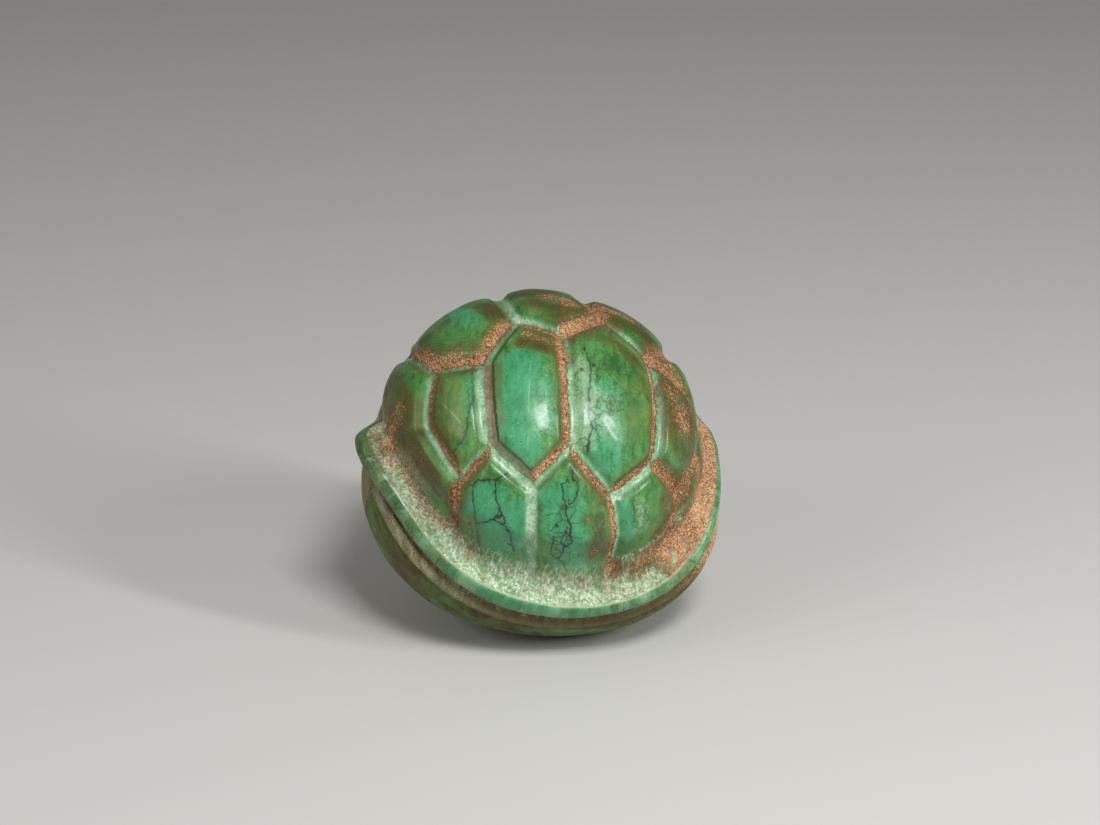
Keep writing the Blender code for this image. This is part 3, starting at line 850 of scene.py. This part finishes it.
# %% [markdown]
# ### Veins and pits
#
# The stored distance from a vein's line is bent by noise, so the straight pieces
# become a wandering crack, and its thickness changes with another noise. Fine cracks
# are the borders of random cells, and they show only where they were brushed on. Tiny
# dark pits and small white painted glints are the middles of smaller cells.

# %% Veins and scratches
VEIN = (0.018, 0.020, 0.014)
VEIN_WANDER = 0.9  # mm
VEIN_ENDS = (0.9, 0.55)  # mm from the line: gone beyond the first, full within the second

vein_side_at, vein_reach_at = attribute("vein_side"), attribute("vein_reach")
vein_strength_at = attribute("vein_strength")
wander = centred(speckle(in_mm, per_mm=1.3, detail=4.0), VEIN_WANDER)
off_line = math_node("ABSOLUTE", plus(vein_side_at, wander))
thickness = math_node("MULTIPLY_ADD", speckle(in_mm, per_mm=1.3, detail=2.0), 0.30, -0.02)
near_vein = rise(vein_reach_at, *VEIN_ENDS)
strong = rise(vein_strength_at, 0.2, 1.0)
vein_mask = both(rise(math_node("DIVIDE", off_line, thickness), 1.7, 0.5), near_vein, strong)
halo = both(rise(vein_reach_at, 1.0, 0.1), strong)
scratch = both(rise(math_node("ABSOLUTE", vein_side_at), 0.18, 0.04), near_vein,
               rise(vein_strength_at, 0.0, -0.7), rise(streak, 0.40, 0.60))
green = over(halo, green, DEEP, 0.30)
green = over(vein_mask, green, VEIN, 0.90)
green = over(scratch, green, MILK, 0.8)
print("veins are dark, scratches are pale")

# %% Cracks, blots, pits and painted glints
GLINT_COLOUR = (0.70, 0.80, 0.62)


def cell_distance(vector, per_mm, feature):
    """Distance to the middle (F1) or to the edge of the nearest random cell, in cells."""
    made = node("TexVoronoi", {"Vector": vector, "Scale": per_mm}, feature=feature)
    return made.outputs["Distance"]


bend = node("TexNoise", {"Vector": in_mm, "Scale": 0.8}).outputs[1]
warped = node("VectorMath", {0: in_mm, 1: bend}, operation="ADD").outputs[0]
cracks = rise(cell_distance(warped, 0.42, "DISTANCE_TO_EDGE"), 0.055, 0.015)
crack_mask = both(cracks, brushed_mask("crackle", 0.35, 0.75))
pitted = rise(speckle(in_mm, per_mm=0.35, detail=2.0), 0.50, 0.62)
pit_mask = both(rise(cell_distance(in_mm, 1.1, "F1"), 0.15, 0.09), pitted)
# Painted highlight: tiny white glints, as the polish would catch a lamp.
painted_glints = rise(cell_distance(in_mm, 0.95, "F1"), 0.08, 0.04)
green = over(crack_mask, green, VEIN, 0.6)
green = over(brushed_mask("blots", 0.35, 0.6), green, VEIN, 0.85)
green = over(pit_mask, green, VEIN, 0.7)
# The white dots are painted glints of light, not grains of the stone.
green = over(painted_glints, green, GLINT_COLOUR, 0.5)
print("cracks, blots, pits and pale grains added")

# %% [markdown]
# ### Dirt and dust
#
# Handling fills a carving's cuts. Rust-brown dirt sits thick in some walls of the
# seams and on the skirt, thin dirt leaves a brown film on the green, and stone dust
# pales the cuts that were never polished. The seam walls also carry painted light:
# paler as a painted highlight where they face the lamps, browner as painted shade where
# they are turned away. A painter would stipple them on with a dry brush. Here fine
# noise, drawn out down the dome as a brush would draw it, picks the colour of each
# grain, and thick dirt is paler than thin dirt.

# %% Tone of the seam walls
SEAM_MIDDLE = 0.35  # mm beside the seam's line, where one wall's tone passes into the other's

seam_side_at, seam_reach_at = attribute("seam_side"), attribute("seam_reach")
jitter = plus(centred(grit, 0.9), centred(speckle(in_mm, per_mm=0.7, detail=2.0), 0.8))
on_left = rise(plus(seam_side_at, jitter), -SEAM_MIDDLE, SEAM_MIDDLE)


def of_nearer_wall(name):
    """The value stored for the left or the right wall of the nearest seam."""
    walls = {0: on_left, 2: attribute("right_" + name), 3: attribute("left_" + name)}
    return node("Mix", walls).outputs[0]


# tone mixes dirt with painted light: below 0 pale dust and painted highlight, above 0 rust and painted
# shade.
tone, line = of_nearer_wall("tone"), of_nearer_wall("line")
print("each wall of a seam has its own tone and dark line")

# %% Rust-brown dirt
RUST_DARK, RUST = (0.095, 0.038, 0.013), (0.260, 0.120, 0.050)
SALMON, TAN = (0.560, 0.315, 0.175), (0.700, 0.450, 0.270)
FULL_RUST = 0.95  # this depth of dirt has the middle shade

rust_at = attribute("rust")
grain = speckle(in_mm, per_mm=3.6)
down_dome = node("Mapping", {"Vector": in_mm, "Rotation": lay.to_euler(), "Scale": (1.0, 1.0, 1.9)},
                 vector_type="TEXTURE").outputs[0]
down_grain = speckle(down_dome, per_mm=4.4)
rust_depth = highest(rust_at, both(tone, rise(seam_reach_at, 3.0, 1.5)))
rust_mix = plus(both(down_grain, 0.45), both(grain, 0.30), both(grit, 0.25),
                both(plus(rust_depth, -FULL_RUST), 0.16), centred(cloud, 0.20))
rust_colour = ramp(rust_mix, (0.41, RUST_DARK), (0.49, RUST), (0.57, SALMON), (0.68, TAN))
print("rust-brown dirt mixed")

# %% Pale dust, and the painted highlight of the seam walls
DUST_DARK, DUST, DUST_LIGHT = (0.150, 0.270, 0.135), (0.370, 0.480, 0.310), (0.680, 0.760, 0.590)
WALL_DARK, WALL, WALL_LIGHT = (0.130, 0.280, 0.145), (0.230, 0.390, 0.235), (0.470, 0.580, 0.410)

strokes_noise = speckle(along_outline, per_mm=2.4)
stroke_mix = plus(both(strokes_noise, 0.6), both(grain, 0.4))
wall_mix = plus(both(streak, 0.5), both(grit, 0.5))
skirt_colour = ramp(stroke_mix, (0.38, DUST_DARK), (0.50, DUST), (0.62, DUST_LIGHT))
wall_dust_and_highlight = ramp(wall_mix, (0.38, WALL_DARK), (0.50, WALL), (0.63, WALL_LIGHT))
print("pale dust mixed for the skirt and for the seams")

# %% Seam walls
from_seam = plus(seam_reach_at, both(jitter, 0.5))
past_wall = plus(from_seam, both(math_node("ABSOLUTE", tone), -1.0))  # a strong tone is a wide one
# Pale dust on walls with a tone below 0, partly painted highlight; rust on walls above 0, partly
# painted shade.
seam_dust_and_highlight = both(rise(past_wall, 0.55, -0.20), rise(tone, 0.05, -0.6))
seam_rust_and_shade = both(rise(plus(past_wall, centred(grain, 1.8)), 0.55, 0.0), rise(tone, 0.3, 0.6))
seam_film = both(rise(from_seam, 3.0, 1.2), rise(tone, -0.9, 0.7))
seam_tan = both(rise(from_seam, 1.75, 1.30), band(tone, 0.0, 0.2, 0.5, 0.6))
# Painted shadow: a dark line where a scute's steep edge rises from the channel.
edge_shadow = both(band(from_seam, 1.35, 1.60, 1.75, 2.00), line)
print("seam walls: rust, tan or pale dust, and a dark line at the scute's edge")

# %% [markdown]
# ### Skirt, lip, groove, ridge and belly
#
# Under the dome the colours follow the levels of the carving, so each part is a band
# of levels. At the left tip and the broad right end the lip is wider than elsewhere,
# and there its colours begin a little higher up.

# %% Bands of levels
WIDER_LEFT, WIDER_RIGHT = 0.035, 0.024  # share of the way from the top to the belly's end

level_at = attribute("level")
left_rim = attribute("left_rim")
lip_level = plus(level_at, both(left_rim, WIDER_LEFT), both(attribute("right_rim"), WIDER_RIGHT))
skirt = both(rise(plus(lip_level, centred(strokes_noise, 0.045)), 0.430, 0.475),
             rise(lip_level, 0.550, 0.540))
# The band of the lip's crest, where a painted highlight goes.
crest_highlight_band = band(lip_level, 0.537, 0.543, 0.547, 0.556)
lip_face = both(rise(lip_level, 0.543, 0.553), rise(level_at, 0.625, 0.612))
# Painted shade: a thin dark band right under the lip's lower edge.
shade_under_lip = band(level_at, 0.608, 0.618, 0.630, 0.655)
in_groove = band(level_at, 0.622, 0.650, 0.715, 0.735)
on_ridge = band(level_at, 0.712, 0.730, 0.755, 0.772)
on_belly = rise(level_at, 0.74, 0.77)
print("masks made for the skirt, lip, groove, ridge and belly")

# %% Colours of the lip
LIP_DARK, LIP, LIP_LIGHT = (0.060, 0.190, 0.065), (0.110, 0.280, 0.115), (0.230, 0.390, 0.200)
TIP_DARK, TIP, TIP_LIGHT = (0.030, 0.035, 0.008), (0.066, 0.080, 0.020), (0.130, 0.165, 0.055)

across_lip = node("Mapping", {"Vector": along_outline, "Scale": (1.0, 1.0, 0.25)}).outputs[0]
bars = speckle(across_lip, per_mm=0.55, detail=4.0)
lip_crack_line = math_node("ABSOLUTE", centred(speckle(across_lip, per_mm=0.40), 1.0))
lip_colour = ramp(plus(both(strokes_noise, 0.7), both(cloud, 0.3)),
                  (0.36, LIP_DARK), (0.50, LIP), (0.64, LIP_LIGHT))
tip_colour = ramp(mottle, (0.38, TIP_DARK), (0.52, TIP), (0.68, TIP_LIGHT))
lip_colour = over(attribute("near_rim"), lip_colour, teal_shade, 0.8)
lip_colour = over(left_rim, lip_colour, tip_colour, 0.9)
lip_colour = over(rise(bars, 0.48, 0.62), lip_colour, DEEP, 0.55)
lip_colour = over(rise(bars, 0.46, 0.36), lip_colour, MILK, 0.35)
lip_colour = over(rise(lip_crack_line, 0.012, 0.003), lip_colour, VEIN, 0.7)
print("lip: teal in front, dark olive at the tip, with bars and cracks across it")

# %% Colours of the belly
BELLY_BROWN, BELLY_OLIVE = (0.050, 0.030, 0.008), (0.100, 0.080, 0.020)
BELLY_GREEN, BELLY_LIGHT = (0.055, 0.105, 0.026), (0.130, 0.190, 0.065)
FACET = (0.250, 0.170, 0.095)

belly_colour = ramp(plus(both(cloud, 0.6), both(streak, 0.4), centred(grit, 0.3)),
                    (0.38, BELLY_BROWN), (0.46, BELLY_OLIVE), (0.52, BELLY_GREEN),
                    (0.64, BELLY_LIGHT))
facet_mask = rise(plus(attribute("tan_facet"), both(ragged, 0.6)), 0.30, 0.75)
belly_colour = over(left_rim, belly_colour, olive_shade, 0.6)
belly_colour = over(attribute("brown_belly"), belly_colour, rust_colour, 0.8)
belly_colour = over(facet_mask, belly_colour, FACET, 0.8)
belly_lines = highest(both(vein_mask, 0.85), both(crack_mask, 0.6))
print("belly: green and brown, with a tan facet at the left")

# %% [markdown]
# ### The layers
#
# Now the layers are laid over the green in the order in which they came onto the
# stone: first the colours of lip and belly, then dust and thin dirt, then thick dirt.
# Painted shade goes on with the thick dirt: a dark line at the steep edges of the
# scutes and, last, a dark line under the lip's edge.

# %% Lay on lip, belly and dust
TAN_WALL_DARK, TAN_WALL_LIGHT = (0.150, 0.105, 0.065), (0.370, 0.280, 0.190)
FILM = (0.130, 0.090, 0.022)  # dirt so thin that the green shows through

tan_wall = ramp(wall_mix, (0.38, TAN_WALL_DARK), (0.62, TAN_WALL_LIGHT))
bare_patches = rise(speckle(along_outline, per_mm=0.42), 0.50, 0.64)
clusters = rise(speckle(in_mm, per_mm=0.50, detail=2.0, distortion=0.5), 0.50, 0.60)
flecks = both(skirt, clusters, rise(grain, 0.44, 0.60), 0.7)
colour = over(lip_face, green, lip_colour, 0.85)
colour = over(on_belly, colour, belly_colour, 0.85)
colour = over(both(belly_lines, on_belly), colour, VEIN, 1.0)
colour = over(seam_film, colour, FILM, 0.60)
colour = over(seam_tan, colour, tan_wall, 0.85)
colour = over(seam_dust_and_highlight, colour, wall_dust_and_highlight, 0.9)
colour = over(skirt, colour, skirt_colour, math_node("MULTIPLY_ADD", bare_patches, -0.45, 0.92))
colour = over(flecks, colour, rust_colour, 0.8)
print("lip, belly and dust laid on")

# %% Lay on the thin dirt
FILM_DARK, FILM_LIGHT = (0.060, 0.042, 0.010), (0.310, 0.200, 0.095)
FILM_BY_RUST = (0.170, 0.072, 0.026)
SANDY_DARK, SANDY, SANDY_LIGHT = (0.150, 0.115, 0.065), (0.330, 0.245, 0.145), (0.600, 0.470, 0.320)

film_noise = plus(centred(down_grain, 2.0), centred(streak, 3.0), 1.0)
film_mask = both(rise(both(attribute("film"), film_noise), 0.10, 0.80), rise(lip_level, 0.560, 0.545))
sandy = ramp(stroke_mix, (0.38, SANDY_DARK), (0.50, SANDY), (0.63, SANDY_LIGHT))
sandy_skirt = highest(both(skirt, rise(rust_at, 0.5, 0.1)), attribute("foot_dust"))
film_colour = ramp(rust_mix, (0.36, FILM_DARK), (0.50, FILM), (0.62, FILM_LIGHT))
film_colour = over(both(skirt, rise(rust_at, 0.5, 0.9)), film_colour, FILM_BY_RUST, 1.0)
film_colour = over(sandy_skirt, film_colour, sandy, 0.85)
colour = over(film_mask, colour, film_colour, 0.85)
print("thin dirt laid on: sandy on the left of the skirt, brown elsewhere")

# %% Lay on the thick dirt, the painted shade and the ridge's painted highlight
# Both are painted shade: a dark line at a scute's steep edge, and one under the lip's edge.
EDGE_SHADOW, SHADOW_LINE = (0.035, 0.026, 0.012), (0.020, 0.018, 0.008)
GROOVE_DARK, GROOVE, GROOVE_LIGHT = (0.060, 0.038, 0.017), (0.145, 0.105, 0.052), (0.330, 0.250, 0.145)
RIDGE_DARK, RIDGE, RIDGE_LIGHT = (0.110, 0.078, 0.045), (0.240, 0.180, 0.110), (0.420, 0.350, 0.240)

rust_noise = plus(centred(down_grain, 6.0), centred(streak, 4.0), 1.0)
brushed_rust = both(rise(both(rust_at, rust_noise), 0.45, 1.00), rise(lip_level, 0.556, 0.543))
rust_mask = highest(brushed_rust, seam_rust_and_shade)
groove_mix = plus(both(grain, 0.5), both(streak, 0.5))
groove_colour = ramp(groove_mix, (0.38, GROOVE_DARK), (0.50, GROOVE), (0.64, GROOVE_LIGHT))
# Tan on the ridge at the left, partly a painted highlight along it.
ridge_tan_and_highlight = ramp(groove_mix, (0.38, RIDGE_DARK), (0.52, RIDGE), (0.66, RIDGE_LIGHT))
ridge_colour = over(attribute("ridge_tan_and_highlight"), rust_colour, ridge_tan_and_highlight, 1.0)
colour = over(rust_mask, colour, rust_colour, 0.92)
colour = over(edge_shadow, colour, EDGE_SHADOW, 0.75)
colour = over(in_groove, colour, groove_colour, 0.9)
colour = over(on_ridge, colour, ridge_colour, 0.75)
# Painted shade under the lip's edge, laid last.
colour = over(shade_under_lip, colour, SHADOW_LINE, 0.9)
print("thick dirt laid in the seams, the groove and on the ridge")

# %% Paint a highlight on the crest and rub the flat
CREST_HIGHLIGHT = (0.56, 0.66, 0.46)

# A painted highlight along the lip's crest; the flat is paled by wear.
colour = over(both(crest_highlight_band, attribute("crest_highlight")), colour, CREST_HIGHLIGHT, 0.5)
colour = over(attribute("on_flat"), colour, DUST, 0.6)
tree.links.new(colour, shader.inputs["Base Color"])
print("handling has paled the crest of the lip and the flat")

# %% [markdown]
# ### Shine and relief
#
# The dome is polished and the cuts are not. So the dirty places are rougher and have
# no thin clear coat. The grains, pits and strokes are too fine to model, so a bump
# gives them their relief.

# %% Shine and fine relief
POLISHED, DULLED_BY = 0.40, 0.30  # roughness of the dome, and what dirt adds to it
COAT, COAT_ROUGHNESS, SPECULAR = 0.22, 0.14, 0.28
RELIEF_DEPTH, RELIEF_STRENGTH = 0.12 * MM, 0.55

dull = highest(skirt, rust_mask, in_groove, on_belly)
roughness = plus(math_node("MULTIPLY_ADD", dull, DULLED_BY, POLISHED), centred(grit, 0.25),
                 both(film_mask, 0.10))
tree.links.new(roughness, shader.inputs["Roughness"])
tree.links.new(math_node("MULTIPLY_ADD", dull, -COAT, COAT), shader.inputs["Coat Weight"])
shader.inputs["Coat Roughness"].default_value = COAT_ROUGHNESS
shader.inputs["Specular IOR Level"].default_value = SPECULAR

relief = plus(both(grain, dull), both(grit, 0.25), both(strokes_noise, skirt, 0.8),
              both(pit_mask, -0.6), both(strokes_noise, lip_face, 0.25), both(edge_shadow, -0.8))
bump = node("Bump", {"Height": relief, "Strength": RELIEF_STRENGTH, "Distance": RELIEF_DEPTH})
tree.links.new(bump.outputs[0], shader.inputs["Normal"])
shell_mesh.materials.append(stone)
print(len(tree.nodes), "nodes in", stone.name)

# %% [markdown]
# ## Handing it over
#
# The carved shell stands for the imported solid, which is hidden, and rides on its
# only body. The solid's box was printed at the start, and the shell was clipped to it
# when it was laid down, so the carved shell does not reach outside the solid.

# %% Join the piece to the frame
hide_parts("turtle_shell")
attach(shell, "root")
